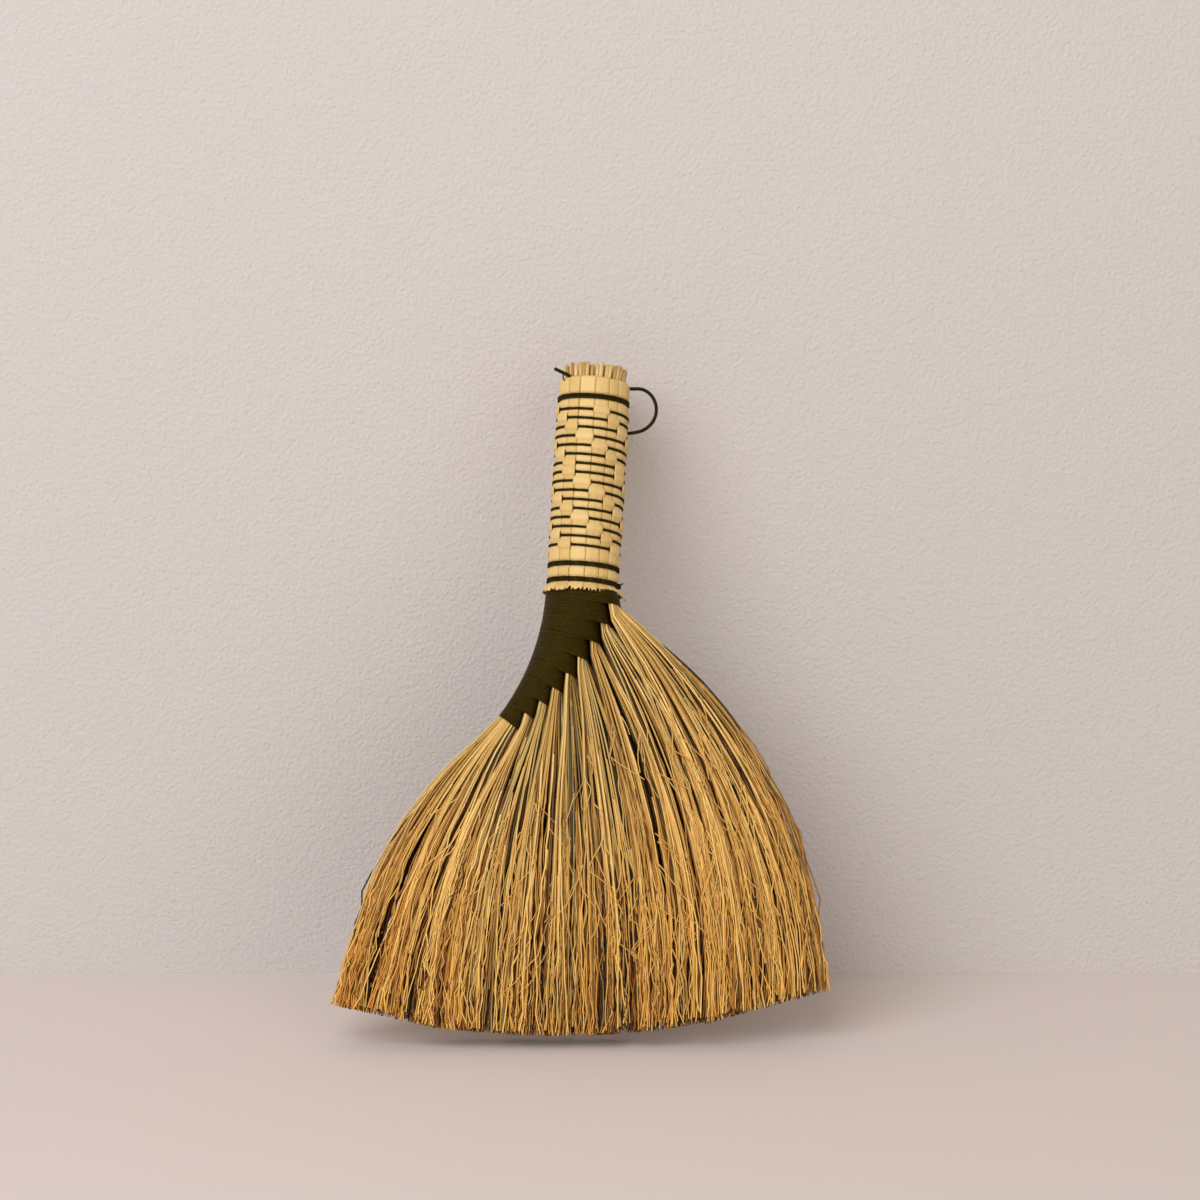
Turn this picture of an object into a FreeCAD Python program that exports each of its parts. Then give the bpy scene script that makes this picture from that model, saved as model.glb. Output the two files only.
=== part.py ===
import FreeCAD, Part
import math
import os

from FreeCAD import Vector

# Hand broom in millimetres. It stands on the tips of its fan with the handle upright:
# X runs across the fan, the front of the fan faces -Y, and Z = 0 is the lowest fibre tip.
# Angles round the handle start at the front and grow towards +X.

# Fan of broomcorn
HURLS = 9                  # bundles, numbered from the right edge of the fan
FAN_WIDTH = 215.0          # across the fibre tips
OUTER_TUFT_WIDTH = 41.0    # tips of the first and last bundles
BOTTOM_RADIUS = 365.0      # sweeping edge, a flat arc
LOW_POINT_X = -31.0        # where that arc is lowest
RIGHT_BULGE = 0.105        # how far the right edge bows out, for its length
LEFT_BULGE = 0.080         # the same for the left edge
BELLY_DEPTH = 27.0         # thickness of the fan halfway down
TIP_DEPTH = 21.0           # thickness at the tips
PROFILE_MARGIN = 5.0       # the side profile runs on past root and tips
EDGE_ROUND = 0.75          # outer edges of the fan, for half the depth at the bundle's root
TUFT_GAP = 0.4             # between neighbouring bundles
LOCK_WIDTH = 5.0           # a lock of fibres, at the sweeping edge
LOCK_GROOVE = 1.5          # groove between two locks, at the sweeping edge
LOCK_GROOVE_TOP = 0.6      # the same at its upper end
LOCK_RELIEF = 2.7          # depth of the grooves
LOCK_START = 0.1           # part of a bundle's length above its grooves
LOCK_UNEVEN = 0.16         # the grooves start at uneven heights
LOCK_WANDER = 2.3          # phase from groove to groove
LOCK_END = 1.04            # the grooves run out past the tips

# Handle
HANDLE_X = -10.0           # handle axis
BRUSH_HEIGHT = 197.0       # floor to the torn lower ends of the strips
STRIP_LENGTH = 96.0
STALK_PROUD = 7.0          # core stalks above the rim of the strips
STALK_DIAMETER = 2.45
STALK_GAP = 0.13
STALK_RINGS = 5
STALK_UNEVEN = 1.6         # the stalk ends are cut by hand
STALK_WANDER = 7.3         # phase from stalk to stalk
STALK_RING_TURN = 17.0     # degrees from ring to ring
CORE_FIT = 0.25            # core to strips

# Strips of split stalk and the thread woven through them
STRIPS = 15
STRIP_GAP = 0.3
STRIP_UNEVEN = 2.4         # degrees by which the seams wander
SEAM_WANDER = 1.9          # phase from seam to seam
STRIP_WALL = 0.55          # left under the thread
PAD_WALL = 0.5             # strip that passes over the thread
PAD_SLOPE = 0.7
THREAD_DIAMETER = 1.1
THREAD_FIT = 0.2
THREAD_SUNK = 0.325        # the strip's face stands this far out from the thread's centre line
RIM_BEVEL = 0.4
TOP_BINDING_DOWN = 9.0     # rim to the middle of the top binding
WEAVE_START_DOWN = 6.1     # top binding to the first woven row
WEAVE_END_UP = 5.2         # lower binding to the last woven row
LOWER_BINDING_UP = 11.3    # strip ends to the lower binding
HEM_BINDING_UP = 4.3       # strip ends to the hem binding
BINDING_TURNS = 2
BINDING_GAP = 0.45         # between the turns of a binding
BINDING_SEAM_STRIP = 8     # the bindings start and end at the seam before this strip, at the back
FIRST_STRIP = -3           # the thread starts under this strip and counts strips from there
SLIP_STRIP = 102           # here the weaver's count slips by one
LAST_STRIP = 236           # and ends under this one
FLARE_WALL = 0.9           # torn ends of the strips
TEAR = 1.0
TEAR_WANDER = 2.7          # phase from strip to strip

# Stepped neck, bent on an arc about a centre to its left
NECK_PROUD = 0.3           # neck over the strips' face
NECK_BEND_RADIUS = 104.0   # of the neck's left side
NECK_TUCK = 0.5            # neck top under the torn strip ends
FIRST_STEP = 2.6           # degrees from the neck's top to its first step
STEP = 3.875               # degrees from step to step
FIRST_STEP_WIDTH = 34.3    # neck at its first step
LAST_STEP_WIDTH = 11.9     # neck at its tip
STEP_SLANT = 2.8           # the wrap widens this much from one step to the next
STEP_LEDGE = 0.25          # each new lift of the wrap starts this much in
TIP_NECK_DEPTH = 11.5
NECK_TAPER = 1.7
WRAP_WALL = 0.9
SHANK_FIT = 0.2
ROOT_DEPTH = 0.62          # tuft to neck depth, where a bundle leaves the wrap

# Hanging loop, thread tail and knot
ARC_SHARE = 0.45           # of a straight run, taken by the arc at each of its ends
LOOP_DIAMETER = 1.6
LOOP_CLEAR = 0.3           # the swinging ends keep this far from the strips
LOOP_DOWN = 1.7            # rim to the loop's upper end
LOOP_ROUTE = [(0, 0), (3.5, 0.5), (7.4, -1.0), (10.3, -4.3), (11.6, -8.8),
              (10.8, -13.5), (8.1, -17.3), (4.1, -19.7), (0, -20.4)]
TAIL_DIAMETER = 1.6
TAIL_STRAND_DIAMETER = 0.6
TAIL_ANGLE = -52.0         # front left of the rim
TAIL_TURN = 15.0           # further round the handle at its end
TAIL_BEND = (1.1, 0.6)     # outwards and up to its bend
TAIL_RUN = (4.6, 3.0)      # outwards and up to its end
TAIL_SPLIT = 0.45          # bend to end, where the strand frays off
TAIL_SEAT = 0.25
KNOT_RADIUS = 1.0
KNOT_FIT = 0.2

# Heights
HEM_Z = BRUSH_HEIGHT
RIM_Z = HEM_Z + STRIP_LENGTH
STALK_TOP = RIM_Z + STALK_PROUD
NECK_TOP = HEM_Z + NECK_TUCK
TOP_BINDING_Z = RIM_Z - TOP_BINDING_DOWN
LOWER_BINDING_Z = HEM_Z + LOWER_BINDING_UP
HEM_BINDING_Z = HEM_Z + HEM_BINDING_UP

# Radii, from the core outwards
STALK_PITCH = STALK_DIAMETER + STALK_GAP
CORE_RADIUS = STALK_RINGS * STALK_PITCH + STALK_DIAMETER / 2
STRIP_IN = CORE_RADIUS + CORE_FIT
GROOVE_FLOOR = STRIP_IN + STRIP_WALL
THREAD_RADIUS = GROOVE_FLOOR + THREAD_FIT + THREAD_DIAMETER / 2
TUNNEL_ROOF = THREAD_RADIUS + THREAD_DIAMETER / 2 + THREAD_FIT
STRIP_OUT = THREAD_RADIUS + THREAD_SUNK
PAD_OUT = TUNNEL_ROOF + PAD_WALL
NECK_RADIUS = STRIP_OUT + NECK_PROUD
LOOP_HINGE = STRIP_OUT + LOOP_DIAMETER / 2 + LOOP_CLEAR

# Weave
STRIP_ANGLE = 360.0 / STRIPS
WEAVE_START = (FIRST_STRIP - 0.5) * STRIP_ANGLE
WEAVE_END = (LAST_STRIP - 0.5) * STRIP_ANGLE
WEAVE_TOP_Z = TOP_BINDING_Z - WEAVE_START_DOWN
ROW_PITCH = (WEAVE_TOP_Z - LOWER_BINDING_Z - WEAVE_END_UP) * 360.0 / WEAVE_END
BINDING_PITCH = THREAD_DIAMETER + BINDING_GAP
POINT_STEP = STRIP_ANGLE / 2
ROW_HALF = THREAD_DIAMETER / 2 + THREAD_FIT + ROW_PITCH / STRIPS / 2
BINDING_HALF = (BINDING_TURNS - 1) * BINDING_PITCH / 2 + THREAD_DIAMETER / 2 + THREAD_FIT \
    + BINDING_PITCH / STRIPS


def round_handle(angle, radius, z):
    a = math.radians(angle)
    return Vector(HANDLE_X + radius * math.sin(a), -radius * math.cos(a), z)


def wander(phase):
    """Share between 0 and 1 that differs from piece to piece, for hand work."""
    return 0.5 + 0.5 * math.sin(phase)


def polyline(points):
    return Part.makePolygon(points + points[:1])


def arc_between(start, tangent, end):
    """Arc from start to end that leaves start along tangent."""
    chord = end - start
    along = Vector(chord).normalize()
    side = tangent - along * tangent.dot(along)
    half_turn = math.atan2(side.Length, tangent.dot(along)) / 2
    middle = (start + end) * 0.5
    if side.Length > 0:
        middle += side.normalize() * (chord.Length / 2 * math.tan(half_turn))
    return Part.Arc(start, middle, end).toShape()


def biarc(start, start_tangent, end, end_tangent):
    """Two arcs that join both ends with one tangent in between."""
    span = end - start
    both = start_tangent + end_tangent
    spread = 2 * (1 - start_tangent.dot(end_tangent))
    reach = (math.sqrt(span.dot(both) ** 2 + spread * span.dot(span)) - span.dot(both)) / spread
    joint = (start + end + (start_tangent - end_tangent) * reach) * 0.5
    back = arc_between(end, end_tangent * -1, joint)
    middle = back.valueAt((back.FirstParameter + back.LastParameter) / 2)
    return [arc_between(start, start_tangent, joint), Part.Arc(joint, middle, end).toShape()]


def tube(edges, diameter, tangent, name):
    """Round tube along a smooth row of edges, with its volume set against section times length."""
    path = Part.Wire(edges)
    section = Part.Wire(Part.Circle(edges[0].Vertexes[0].Point, tangent, diameter / 2).toShape())
    pipe = Part.BRepOffsetAPI.MakePipeShell(path)
    pipe.add(section)
    pipe.build()
    pipe.makeSolid()
    shape = pipe.shape()
    expected = math.pi * diameter ** 2 / 4 * path.Length
    print(f"{name}: length {path.Length:.1f}, volume over section times length {shape.Volume / expected:.4f}")
    return shape


def least_gap(points, apart, diameter, name):
    """Least clear distance between the turns of a winding, on points that are at least so many apart."""
    gap = min(p.distanceToPoint(q) for i, p in enumerate(points) for q in points[i + apart:])
    print(f"{name}: least gap to itself {gap - diameter:.2f}")


def winding(top_z, pitch, start, end, name):
    """Thread wound downwards round the handle, with a straight end of one diameter at each side."""
    quarters = max(1, round((end - start) / 90.0))
    step = (end - start) / quarters
    circumference = 2 * math.pi * THREAD_RADIUS

    def point(angle):
        return round_handle(angle, THREAD_RADIUS, top_z - pitch * angle / 360.0)

    def tangent(angle):
        a = math.radians(angle)
        return Vector(math.cos(a), math.sin(a), -pitch / circumference).normalize()

    angles = [start + step * n for n in range(quarters + 1)]
    lead_in = point(start) - tangent(start) * THREAD_DIAMETER
    lead_out = point(end) + tangent(end) * THREAD_DIAMETER
    edges = [Part.LineSegment(lead_in, point(start)).toShape()]
    for a, b in zip(angles, angles[1:]):
        edges += biarc(point(a), tangent(a), point(b), tangent(b))
    edges.append(Part.LineSegment(point(end), lead_out).toShape())
    spaced = [point(start + POINT_STEP * n) for n in range(int((end - start) / POINT_STEP) + 1)]
    least_gap(spaced, round(270.0 / POINT_STEP), THREAD_DIAMETER, name)
    return tube(edges, THREAD_DIAMETER, tangent(start), name)


def seam_angle(number):
    """Seam before a strip: even spacing with a small wander."""
    uneven = STRIP_UNEVEN * (2 * wander(SEAM_WANDER * (number % STRIPS) ** 2) - 1)
    return (number - 1) * STRIP_ANGLE + uneven


def binding(middle_z, name):
    """A few tight turns that clamp the strips, with both thread ends at one seam."""
    seam = seam_angle(BINDING_SEAM_STRIP)
    lead = math.degrees(2 * THREAD_DIAMETER / THREAD_RADIUS)
    top_z = middle_z + BINDING_PITCH * (BINDING_TURNS / 2 + seam / 360.0)
    return winding(top_z, BINDING_PITCH, seam + lead, seam + 360 * BINDING_TURNS - lead, name)


def binding_z(middle_z, angle):
    """Middle of a binding's turns at an angle round the handle."""
    share = ((angle - seam_angle(BINDING_SEAM_STRIP)) % 360) / 360.0
    return middle_z + BINDING_PITCH * (0.5 - share)


def hides_thread(count):
    """The strip passes over the thread at every fourth crossing."""
    return count % 4 == (1 if count < SLIP_STRIP else 0)


def pads_over(tunnels):
    """Where a strip stands out over the thread; two pads whose slopes would meet are one."""
    pads = []
    for top, bottom in sorted(tunnels, reverse=True):
        top += PAD_WALL
        bottom -= PAD_WALL
        if pads and pads[-1][1] - top < 2 * PAD_SLOPE + STRIP_GAP:
            top = pads.pop()[0]
        pads.append((top, bottom))
    return pads


def strip(number):
    """One split stalk: a curved lath with grooves under the thread and tunnels where it covers it."""
    side_gap = math.degrees(STRIP_GAP / 2 / STRIP_OUT)
    first = seam_angle(number) + side_gap
    last = seam_angle(number + 1) - side_gap
    middle = (first + last) / 2

    def at(radius, z):
        return round_handle(first, radius, z)

    torn = HEM_Z + TEAR * wander(TEAR_WANDER * number)
    flare_in = NECK_RADIUS + NECK_PROUD
    hem_z = binding_z(HEM_BINDING_Z, middle)
    flare_top = hem_z - BINDING_HALF
    outline = [at(flare_in, torn), at(flare_in, torn + TEAR), at(STRIP_IN, flare_top),
               at(STRIP_IN, RIM_Z), at(STRIP_OUT - RIM_BEVEL, RIM_Z), at(STRIP_OUT, RIM_Z - RIM_BEVEL)]
    bindings = [binding_z(z, middle) for z in (TOP_BINDING_Z, LOWER_BINDING_Z, HEM_BINDING_Z)]
    grooves = [(z + BINDING_HALF, z - BINDING_HALF) for z in bindings]
    tunnels = []
    for count in range(FIRST_STRIP, LAST_STRIP + 1):
        if count % STRIPS == number:
            turn = (count - number) // STRIPS
            row_z = WEAVE_TOP_Z - ROW_PITCH * (turn + middle / 360.0)
            (tunnels if hides_thread(count) else grooves).append((row_z + ROW_HALF, row_z - ROW_HALF))
    pads = pads_over(tunnels)
    for top, bottom in sorted(grooves + pads, reverse=True):
        if (top, bottom) in pads:
            outline += [at(STRIP_OUT, top + PAD_SLOPE), at(PAD_OUT, top),
                        at(PAD_OUT, bottom), at(STRIP_OUT, bottom - PAD_SLOPE)]
        else:
            outline += [at(STRIP_OUT, top), at(GROOVE_FLOOR, top),
                        at(GROOVE_FLOOR, bottom), at(STRIP_OUT, bottom)]
    outline += [at(flare_in + FLARE_WALL, torn + TEAR), at(flare_in + FLARE_WALL, torn)]
    holes = [[at(GROOVE_FLOOR, bottom), at(TUNNEL_ROOF, bottom), at(TUNNEL_ROOF, top), at(GROOVE_FLOOR, top)]
             for top, bottom in tunnels]
    face = Part.makeFace([polyline(line) for line in [outline] + holes], "Part::FaceMakerBullseye")
    return face.revolve(Vector(HANDLE_X, 0, 0), Vector(0, 0, 1), last - first)


def core_stalks():
    """Stalk ends packed in rings inside the strips, cut off unevenly above the rim."""
    foot = NECK_TOP + CORE_FIT
    stalks = []
    for ring in range(STALK_RINGS + 1):
        for n in range(max(1, 6 * ring)):
            angle = 60.0 * n / max(1, ring) + STALK_RING_TURN * ring
            top = STALK_TOP - STALK_UNEVEN * wander(STALK_WANDER * n + ring)
            base = round_handle(angle, ring * STALK_PITCH, foot)
            stalks.append(Part.makeCylinder(STALK_DIAMETER / 2, top - foot, base))
    return Part.makeCompound(stalks)


def step_angle(level):
    return 0.0 if level == 0 else FIRST_STEP + STEP * (level - 1)


def step_outer(level):
    """Width of the neck at the outer corner of a step."""
    if level == 0:
        return 2 * NECK_RADIUS
    return FIRST_STEP_WIDTH + (LAST_STEP_WIDTH - FIRST_STEP_WIDTH) * (level - 1) / (HURLS - 1)


def step_inner(level):
    """Width of the neck at the inner corner of a step, where the next lift of the wrap starts."""
    return step_outer(0) if level == 0 else step_outer(level + 1) - STEP_SLANT


def neck_depth(level):
    return 2 * NECK_RADIUS - (2 * NECK_RADIUS - TIP_NECK_DEPTH) * (level / HURLS) ** NECK_TAPER


def neck_point(level, across, y=0.0):
    """Point at a step, given its distance from the neck's left side."""
    a = math.radians(step_angle(level))
    reach = NECK_BEND_RADIUS + across
    centre_x = HANDLE_X - NECK_RADIUS - NECK_BEND_RADIUS
    return Vector(centre_x + reach * math.cos(a), y, NECK_TOP - reach * math.sin(a))


def neck_section(level, left, right, depth):
    """Oval of four arcs across the neck."""
    middle = (left + right) / 2

    def at(turn):
        a = math.radians(turn)
        return neck_point(level, middle + (right - left) / 2 * math.cos(a), depth / 2 * math.sin(a))

    quarters = [Part.Arc(at(q), at(q + 45), at(q + 90)).toShape() for q in (0, 90, 180, 270)]
    return Part.Wire(quarters)


def neck_lift(level, inset):
    """Neck from one step to the next, drawn in by inset all round."""
    above = level - 1
    ledge = inset + (STEP_LEDGE if above else 0.0)
    start = neck_section(above, ledge, step_inner(above) - inset, neck_depth(above) - 2 * ledge)
    end = neck_section(level, inset, step_outer(level) - inset, neck_depth(level) - 2 * inset)
    return Part.makeLoft([start, end], True, True)


def neck_wrap():
    """Stepped sleeve of fine dark thread, one lift for each bundle."""
    levels = range(1, HURLS + 1)
    outer = [neck_lift(level, 0.0) for level in levels]
    inner = [neck_lift(level, WRAP_WALL) for level in levels]
    sleeve = outer[0].multiFuse(outer[1:])
    return sleeve.cut(inner)


def plate(edges, depth):
    """Outline in the plane of the fan, thickened to both sides."""
    face = Part.Face(Part.Wire(edges))
    face.translate(Vector(0, -depth, 0))
    return face.extrude(Vector(0, 2 * depth, 0))


def straight_edges(points):
    return [Part.LineSegment(a, b).toShape() for a, b in zip(points, points[1:])]


def tip_point(x):
    """Point of the sweeping edge."""
    return Vector(x, 0, BOTTOM_RADIUS - math.sqrt(BOTTOM_RADIUS ** 2 - (x - LOW_POINT_X) ** 2))


def tip_x(border):
    """Where a border between bundles meets the sweeping edge, from the right edge of the fan."""
    if border in (0, HURLS):
        return FAN_WIDTH / 2 if border == 0 else -FAN_WIDTH / 2
    inner_width = (FAN_WIDTH - 2 * OUTER_TUFT_WIDTH) / (HURLS - 2)
    return FAN_WIDTH / 2 - OUTER_TUFT_WIDTH - inner_width * (border - 1)


def border_arc(border, root, tip):
    """Edge of a bundle: straight in the middle of the fan, bowed outwards towards its sides."""
    bulge = RIGHT_BULGE - (RIGHT_BULGE + LEFT_BULGE) * border / HURLS
    chord = tip - root
    middle = (root + tip) * 0.5 + Vector(-chord.z, 0, chord.x) * bulge
    return Part.Arc(root, middle, tip).toShape()


def shank(level):
    """Upper end of a bundle: one slice of the neck, inside the wrap."""
    last = level == HURLS
    seat = WRAP_WALL + SHANK_FIT
    left = -seat if last else step_inner(level) - WRAP_WALL + TUFT_GAP / 2
    right = FIRST_STEP_WIDTH if level == 1 else step_inner(level - 1) - WRAP_WALL - TUFT_GAP / 2
    root_left = left if last else step_inner(level) + TUFT_GAP / 2
    foot = neck_point(level, root_left)
    lift = neck_point(level - 1, root_left) - foot
    above_ledge = foot + lift.normalize() * SHANK_FIT
    ledge_left = above_ledge if last else above_ledge + neck_point(level, left) - foot
    right_side = [neck_point(n, right) for n in range(level)]
    left_side = [neck_point(n, left) for n in range(level)]
    corner = [neck_point(level, step_outer(level)), foot, above_ledge]
    outline = right_side + corner + [ledge_left] * (not last) + left_side[::-1]
    slab = plate(straight_edges(outline + outline[:1]), NECK_RADIUS + BELLY_DEPTH)
    return [slab.common(neck_lift(n, seat)) for n in range(1, level + 1)]


def tuft(level):
    """Lower end of a bundle: it leaves the wrap at its step and spreads to the sweeping edge."""
    last = level == HURLS
    root_right = neck_point(level, step_outer(level) - WRAP_WALL - SHANK_FIT)
    right_tip = tip_point(tip_x(level - 1) - (0 if level == 1 else TUFT_GAP / 2))
    left_tip = tip_point(tip_x(level) + (0 if last else TUFT_GAP / 2))
    if last:
        root_left = neck_point(level, WRAP_WALL + SHANK_FIT)
        left_start = root_left
        left_side = []
    else:
        root_left = neck_point(level, step_inner(level) + TUFT_GAP / 2)
        left_start = neck_point(level + 1, step_outer(level + 1) + TUFT_GAP / 2)
        left_side = straight_edges([root_left, left_start])
    bottom = Part.Arc(left_tip, tip_point((left_tip.x + right_tip.x) / 2), right_tip).toShape()
    edges = left_side + [border_arc(level, left_start, left_tip), bottom,
                         border_arc(level - 1, root_right, right_tip)]
    edges += straight_edges([root_right, root_left])
    top = max(root_left.z, root_right.z)
    depth = neck_depth(level) * ROOT_DEPTH
    body = plate(edges, BELLY_DEPTH).common(side_profile(depth, top, 0.0))
    if level == 1:
        body = round_side(body, root_right, right_tip, depth)
    if last:
        body = round_side(body, root_left, left_tip, depth)
    floor = side_profile(depth, top, LOCK_RELIEF)
    count = round((right_tip.x - left_tip.x) / LOCK_WIDTH)
    grooves = []
    for n in range(1, count):
        root = root_right + (left_start - root_right) * (n / count)
        tip = tip_point(right_tip.x + (left_tip.x - right_tip.x) * n / count)
        line = border_arc(level - 1 + n / count, root, tip)
        start = LOCK_START + LOCK_UNEVEN * wander(LOCK_WANDER * (level * HURLS + n))
        grooves.append(lock_groove(line, start).cut(floor))
    return body.cut(grooves)


def lock_groove(line, start):
    """Groove between two locks of fibres: it follows a line down the bundle and widens to the tips."""
    span = line.LastParameter - line.FirstParameter

    def side(sign):
        points = []
        for share in (0.0, 0.5, 1.0):
            at = start + (LOCK_END - start) * share
            width = LOCK_GROOVE_TOP + (LOCK_GROOVE - LOCK_GROOVE_TOP) * share
            points.append(line.valueAt(line.FirstParameter + span * at) + Vector(sign * width / 2, 0, 0))
        return points

    left, right = side(-1), side(1)
    edges = [Part.Arc(*left).toShape(), Part.Arc(*right).toShape()]
    edges += straight_edges([left[0], right[0]]) + straight_edges([left[-1], right[-1]])
    return plate(Part.__sortEdges__(edges), BELLY_DEPTH)


def side_profile(root_depth, top, inset):
    """Fan seen from the side: thin at the root of a bundle, full halfway and thinner past the tips."""
    tip = Vector(0, TIP_DEPTH / 2 - inset, -PROFILE_MARGIN)
    belly = Vector(0, BELLY_DEPTH / 2 - inset, top / 2)
    root = Vector(0, root_depth / 2 - inset, top + PROFILE_MARGIN)

    def front(point):
        return Vector(0, -point.y, point.z)

    edges = [Part.Arc(tip, belly, root).toShape()]
    edges += straight_edges([root, front(root)])
    edges.append(Part.Arc(front(root), front(belly), front(tip)).toShape())
    edges += straight_edges([front(tip), tip])
    profile = Part.Face(Part.Wire(edges))
    profile.translate(Vector(-FAN_WIDTH, 0, 0))
    return profile.extrude(Vector(2 * FAN_WIDTH, 0, 0))


def round_side(body, root, tip, depth):
    """Round the two long edges on the outer side of the first or last bundle."""
    def runs_between(edge):
        ends = sorted((v.Point for v in edge.Vertexes), key=lambda p: p.z)
        flat = [Vector(p.x, 0, p.z) for p in ends]
        return len(flat) == 2 and flat[0].isEqual(tip, 0.01) and flat[1].isEqual(root, 0.01)

    return body.makeFillet(EDGE_ROUND * depth / 2, [edge for edge in body.Edges if runs_between(edge)])


def hurl(level):
    """A whole bundle of broomcorn, from the top of the neck to the fibre tips."""
    return tuft(level).multiFuse(shank(level)).removeSplitter()


def cord_edges(points):
    """Straight runs joined by the largest tangent arcs that the runs leave room for."""
    starts = [points[0]]
    arcs = []
    radii = []
    for before, corner, after in zip(points, points[1:], points[2:]):
        arriving = (corner - before).normalize()
        leaving = (after - corner).normalize()
        trim = ARC_SHARE * min((corner - before).Length, (after - corner).Length)
        half_turn = arriving.getAngle(leaving) / 2
        radii.append(trim / math.tan(half_turn))
        begin = corner - arriving * trim
        end = corner + leaving * trim
        arcs.append((begin, arc_between(begin, arriving, end)))
        starts.append(end)
    edges = []
    for start, (begin, arc) in zip(starts, arcs):
        edges += [Part.LineSegment(start, begin).toShape(), arc]
    edges.append(Part.LineSegment(starts[-1], points[-1]).toShape())
    return edges, radii


def hanging_loop():
    """Loop of cord at the right of the rim, free to swing about the line through its two ends."""
    top = RIM_Z - LOOP_DOWN
    points = [Vector(HANDLE_X + LOOP_HINGE + x, 0, top + z) for x, z in LOOP_ROUTE]
    edges, radii = cord_edges(points)
    print("hanging_loop: radii " + ", ".join(f"{r:.1f}" for r in radii))
    return tube(edges, LOOP_DIAMETER, points[1] - points[0], "hanging_loop")


def cord_tail():
    """Cut end of the thread at the front left of the rim, with one strand frayed off it."""
    seat = (STRIP_IN + STRIP_OUT) / 2
    root = round_handle(TAIL_ANGLE, seat, RIM_Z + TAIL_SEAT + TAIL_DIAMETER / 2)
    bend = round_handle(TAIL_ANGLE - TAIL_TURN / 2, seat + TAIL_BEND[0], root.z + TAIL_BEND[1])
    end = round_handle(TAIL_ANGLE - TAIL_TURN, seat + TAIL_RUN[0], root.z + TAIL_RUN[1])
    edges, radii = cord_edges([root, bend, end])
    print("cord_tail: radii " + ", ".join(f"{r:.1f}" for r in radii))
    tail = tube(edges, TAIL_DIAMETER, edges[0].tangentAt(edges[0].FirstParameter), "cord_tail")
    split = bend + (end - bend) * TAIL_SPLIT
    drop = split.z - RIM_Z - TAIL_SEAT
    strand = Part.makeCylinder(TAIL_STRAND_DIAMETER / 2, drop, split, Vector(0, 0, -1))
    return tail.fuse(strand).removeSplitter()


def hem_knot():
    """Knot of the hem binding, at the right of the handle."""
    radius = THREAD_RADIUS + THREAD_DIAMETER / 2 + KNOT_FIT + KNOT_RADIUS
    middle = round_handle(90, radius, binding_z(HEM_BINDING_Z, 90))
    ball = Part.makeSphere(KNOT_RADIUS, middle)
    end = Part.makeCylinder(THREAD_DIAMETER / 2, 2 * KNOT_RADIUS, middle, Vector(1, 0, 1))
    return ball.fuse(end).removeSplitter()


def build():
    nodes = {f"hurl_{n:02d}": hurl(n) for n in range(1, HURLS + 1)}
    nodes.update({f"stalk_strip_{n + 1:02d}": strip(n) for n in range(STRIPS)})
    nodes["neck_wrap"] = neck_wrap()
    nodes["core_stalks"] = core_stalks()
    nodes["weave_thread"] = winding(WEAVE_TOP_Z, ROW_PITCH, WEAVE_START, WEAVE_END, "weave_thread")
    nodes["top_binding"] = binding(TOP_BINDING_Z, "top_binding")
    nodes["lower_binding"] = binding(LOWER_BINDING_Z, "lower_binding")
    nodes["hem_binding"] = binding(HEM_BINDING_Z, "hem_binding")
    nodes["hem_knot"] = hem_knot()
    nodes["cord_tail"] = cord_tail()
    nodes["hanging_loop"] = hanging_loop()
    return nodes


os.makedirs("parts", exist_ok=True)
for name, shape in build().items():
    shape.exportStep(f"parts/{name}.step")
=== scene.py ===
import math

import bmesh
import bpy
import numpy as np
from mathutils import Matrix, Vector


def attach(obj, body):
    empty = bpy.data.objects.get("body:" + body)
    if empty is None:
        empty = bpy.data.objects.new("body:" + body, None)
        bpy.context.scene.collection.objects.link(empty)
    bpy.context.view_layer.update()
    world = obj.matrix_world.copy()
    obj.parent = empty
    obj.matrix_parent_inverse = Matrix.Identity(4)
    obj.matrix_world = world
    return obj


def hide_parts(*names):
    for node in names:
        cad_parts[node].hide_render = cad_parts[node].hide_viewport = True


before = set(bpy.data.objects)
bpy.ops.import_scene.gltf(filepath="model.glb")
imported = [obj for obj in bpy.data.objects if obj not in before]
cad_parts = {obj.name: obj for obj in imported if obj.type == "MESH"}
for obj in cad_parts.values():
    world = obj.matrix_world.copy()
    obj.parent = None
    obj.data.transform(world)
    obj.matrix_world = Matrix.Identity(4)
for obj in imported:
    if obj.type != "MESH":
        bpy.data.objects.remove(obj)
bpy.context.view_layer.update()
rng = np.random.default_rng(41)

# Sizes in millimetres, as in the solids. Angles round the handle are in degrees, start at the
# front and grow towards +X.
MM = 0.001
HANDLE_X = -10.0
RIM_Z = 293.0
HEM_Z = 197.0
STALK_TOP = 300.0
STRIP_OUT = 16.0
STRIPS = 15
STRIP_ANGLE = 360.0 / STRIPS
STRIP_UNEVEN = 2.4
SEAM_WANDER = 1.9
THREAD_RADIUS = 15.675
WEAVE_TOP_Z = 277.9
WEAVE_END_Z = 213.5
FIRST_STRIP = -3
SLIP_STRIP = 102
LAST_STRIP = 236
WEAVE_START = (FIRST_STRIP - 0.5) * STRIP_ANGLE
WEAVE_END = (LAST_STRIP - 0.5) * STRIP_ANGLE
ROW_PITCH = (WEAVE_TOP_Z - WEAVE_END_Z) * 360.0 / WEAVE_END
TOP_BINDING_Z = 284.0
LOWER_BINDING_Z = 208.3
HEM_BINDING_Z = 201.3

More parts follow.
